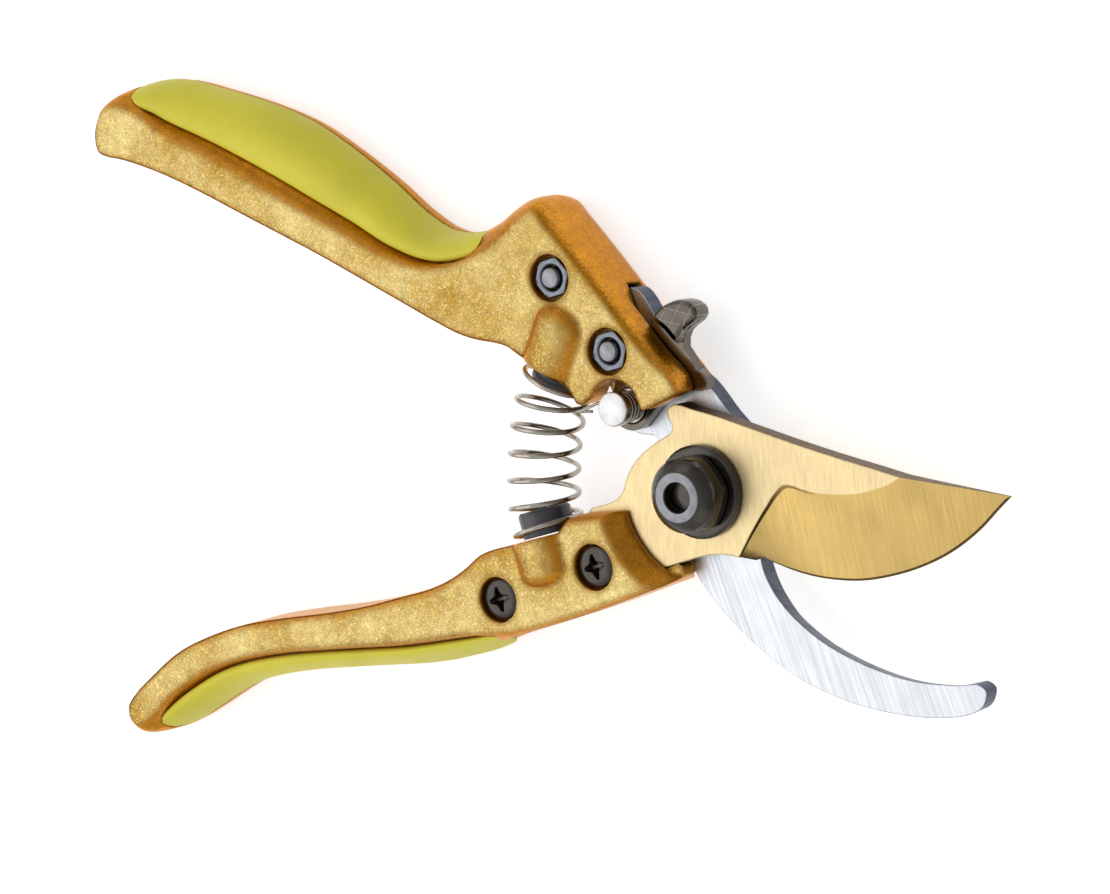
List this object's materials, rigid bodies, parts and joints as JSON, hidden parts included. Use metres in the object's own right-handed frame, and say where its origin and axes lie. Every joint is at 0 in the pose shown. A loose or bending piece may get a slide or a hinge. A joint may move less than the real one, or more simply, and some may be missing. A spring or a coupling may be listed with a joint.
{
  "type": "bypass pruner",
  "caption": "Hand pruner with a ground cutting blade passing a fixed hook, sprung handles with soft palm inserts, and a thumb lock that holds the jaws closed.",
  "frame": {"origin": "on the main pivot's axis, at the flat back of the pivot bolt's head, in the plane the tool rests on", "axes": "+X along the tool towards the jaws' tips; +Z along the pivot's axis, away from the resting face; +Y towards the hook's handle"},
  "size_m": [0.2051, 0.1351, 0.0194],
  "materials": {
    "gold_paint": "fine metallic-flake gold paint over cast aluminium",
    "lime_rubber": "matte yellow-green soft insert",
    "gold_coating": "pale gold hard coating on ground steel",
    "ground_steel": "ground steel",
    "bright_steel": "bright polished steel",
    "black_oxide": "black oxide, slightly glossy",
    "black_plastic": "matte black plastic"
  },
  "bodies": {
    "hook_side": {"upper_handle": "gold_paint", "upper_grip": "lime_rubber", "hook_blade": "ground_steel", "lock_pin": "bright_steel", "lock_spring": "bright_steel", "upper_spring_seat": "black_plastic", "main_spring": "bright_steel", "upper_bolt_rear": "black_oxide", "upper_bolt_front": "black_oxide", "upper_nut_rear": "ground_steel", "upper_nut_front": "ground_steel", "pivot_bolt": "black_oxide", "pivot_bush": "ground_steel", "pivot_washer": "black_oxide", "pivot_nut": "black_oxide"},
    "blade_side": {"lower_handle": "gold_paint", "lower_grip": "lime_rubber", "cutting_blade": "gold_coating", "lower_spring_seat": "black_plastic", "lower_screw_rear": "black_oxide", "lower_screw_front": "black_oxide", "lower_nut_rear": "black_oxide", "lower_nut_front": "black_oxide"},
    "lock": {"lock_lever": "bright_steel"}
  },
  "joints": [
    {"name": "jaw_pivot", "type": "hinge", "parent": "hook_side", "child": "blade_side", "pos_m": [0, 0, 0.0075], "axis": [0, 0, 1], "range_deg": [-35, 0], "stiffness_Nm_per_rad": 0.8, "springref_deg": 14.32, "deforming": ["main_spring"]},
    {"name": "lock_pivot", "type": "hinge", "parent": "hook_side", "child": "lock", "pos_m": [-0.0164, 0.0138, 0.009], "axis": [0, 0, 1], "range_deg": [-10, 0]}
  ]
}
